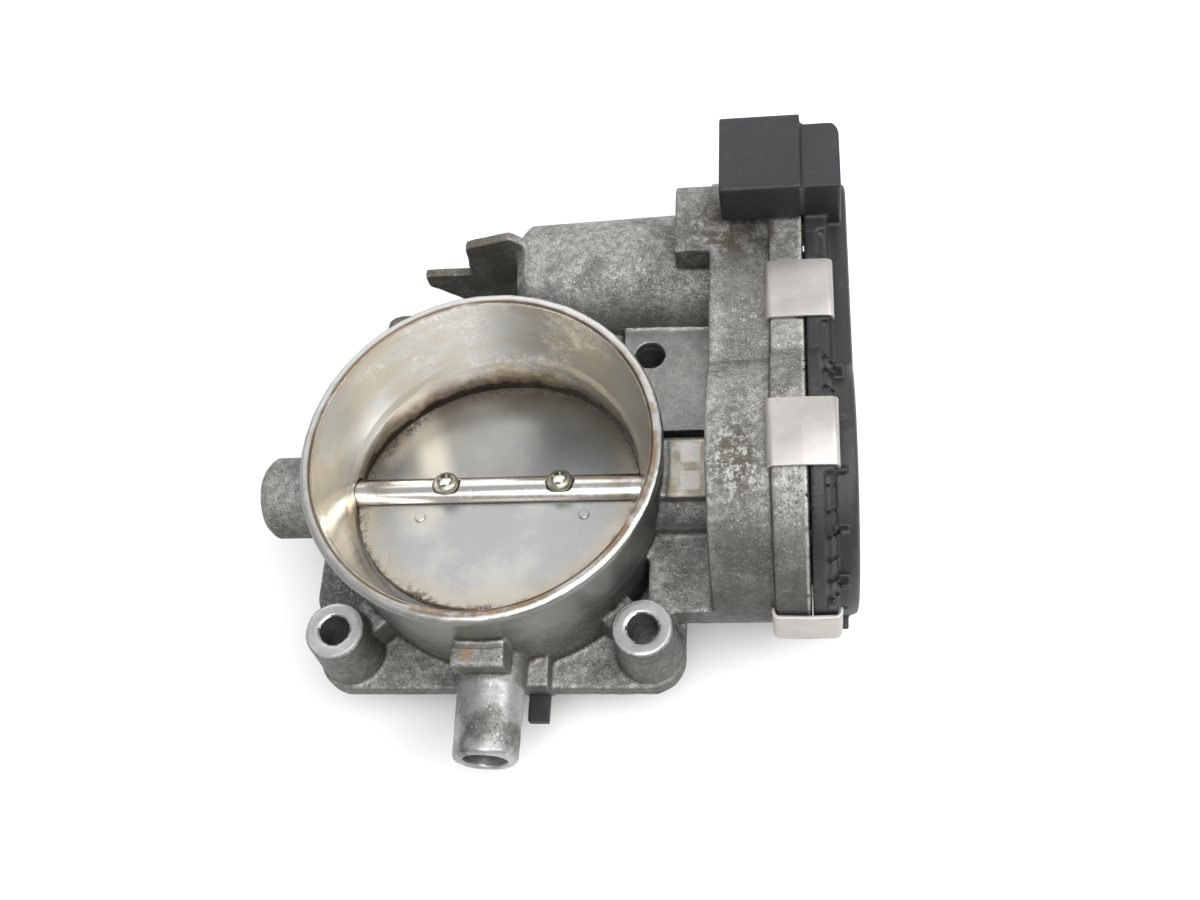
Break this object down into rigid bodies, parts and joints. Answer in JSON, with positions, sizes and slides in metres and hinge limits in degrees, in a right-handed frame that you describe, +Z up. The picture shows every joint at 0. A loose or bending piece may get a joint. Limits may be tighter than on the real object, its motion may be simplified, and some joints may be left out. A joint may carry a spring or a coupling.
{
  "type": "electronic throttle body",
  "caption": "Cast throttle body: round duct, butterfly plate on a geared shaft, motor barrel, clipped gear cover with connector, square mounting flange and side nipple.",
  "frame": {"origin": "on the duct's axis, in the plane of the mounting flange's underside", "axes": "+Z up the duct to the inlet rim, +X along the throttle shaft to the gear cover, +Y towards the motor"},
  "size_m": [0.1383, 0.1397, 0.0718],
  "materials": {
    "cast_aluminium": "rough cast, with machined faces",
    "plate_aluminium": "satin",
    "shaft_steel": "ground",
    "zinc_steel": "zinc plated",
    "spring_steel": "nickel plated",
    "dark_steel": "dark oxide",
    "black_plastic": "moulded, glass filled",
    "gear_plastic": "moulded",
    "seal_rubber": "matte",
    "copper": "bright",
    "brass": "bright",
    "ferrite": "matte",
    "circuit_board": "lacquered"
  },
  "bodies": {
    "root": {"housing": "cast_aluminium", "shaft_seal_left": "seal_rubber", "shaft_seal_right": "seal_rubber", "needle_bearing_left": "dark_steel", "needle_bearing_right": "dark_steel", "bearing_plug": "shaft_steel", "idler_pin": "shaft_steel", "motor_can": "dark_steel", "motor_magnet_front": "ferrite", "motor_magnet_rear": "ferrite", "motor_brush_holder": "black_plastic", "motor_plate": "zinc_steel", "motor_screw_1": "zinc_steel", "motor_screw_2": "zinc_steel", "motor_terminal_1": "brass", "motor_terminal_2": "brass", "return_spring": "shaft_steel", "stop_screw": "dark_steel", "cover": "black_plastic", "cover_gasket": "seal_rubber", "sensor_board": "circuit_board", "terminal_pin_1": "brass", "terminal_pin_2": "brass", "terminal_pin_3": "brass", "terminal_pin_4": "brass", "terminal_pin_5": "brass", "terminal_pin_6": "brass", "spring_clip_top_rear": "spring_steel", "spring_clip_top_front": "spring_steel", "spring_clip_front": "spring_steel", "spring_clip_bottom_front": "spring_steel", "spring_clip_bottom_rear": "spring_steel", "spring_clip_rear": "spring_steel", "flange_seal": "seal_rubber"},
    "throttle": {"throttle_shaft": "shaft_steel", "throttle_plate": "plate_aluminium", "plate_screw_1": "zinc_steel", "plate_screw_2": "zinc_steel", "sector_gear": "gear_plastic", "gear_nut": "zinc_steel", "sensor_rotor": "copper"},
    "idler": {"idler_gear": "gear_plastic"},
    "rotor": {"motor_shaft": "shaft_steel", "motor_armature": "dark_steel", "motor_commutator": "copper", "motor_pinion": "brass"}
  },
  "joints": [
    {"name": "throttle_turn", "type": "hinge", "parent": "root", "child": "throttle", "pos_m": [0, 0, 0.019], "axis": [-1, 0, 0], "range_deg": [-8, 77], "stiffness_Nm_per_rad": 0.3},
    {"name": "idler_turn", "type": "hinge", "parent": "root", "child": "idler", "pos_m": [0.066, 0.03599, 0.01963], "axis": [-1, 0, 0], "range_deg": [-272, 30]},
    {"name": "rotor_turn", "type": "hinge", "parent": "root", "child": "rotor", "pos_m": [0.03, 0.05759, 0.02], "axis": [-1, 0, 0], "range_deg": [-90, 855]}
  ],
  "couplings": [
    {"joint": "idler_turn", "follows": "throttle_turn", "ratio": -3.5},
    {"joint": "rotor_turn", "follows": "throttle_turn", "ratio": 11.038}
  ]
}
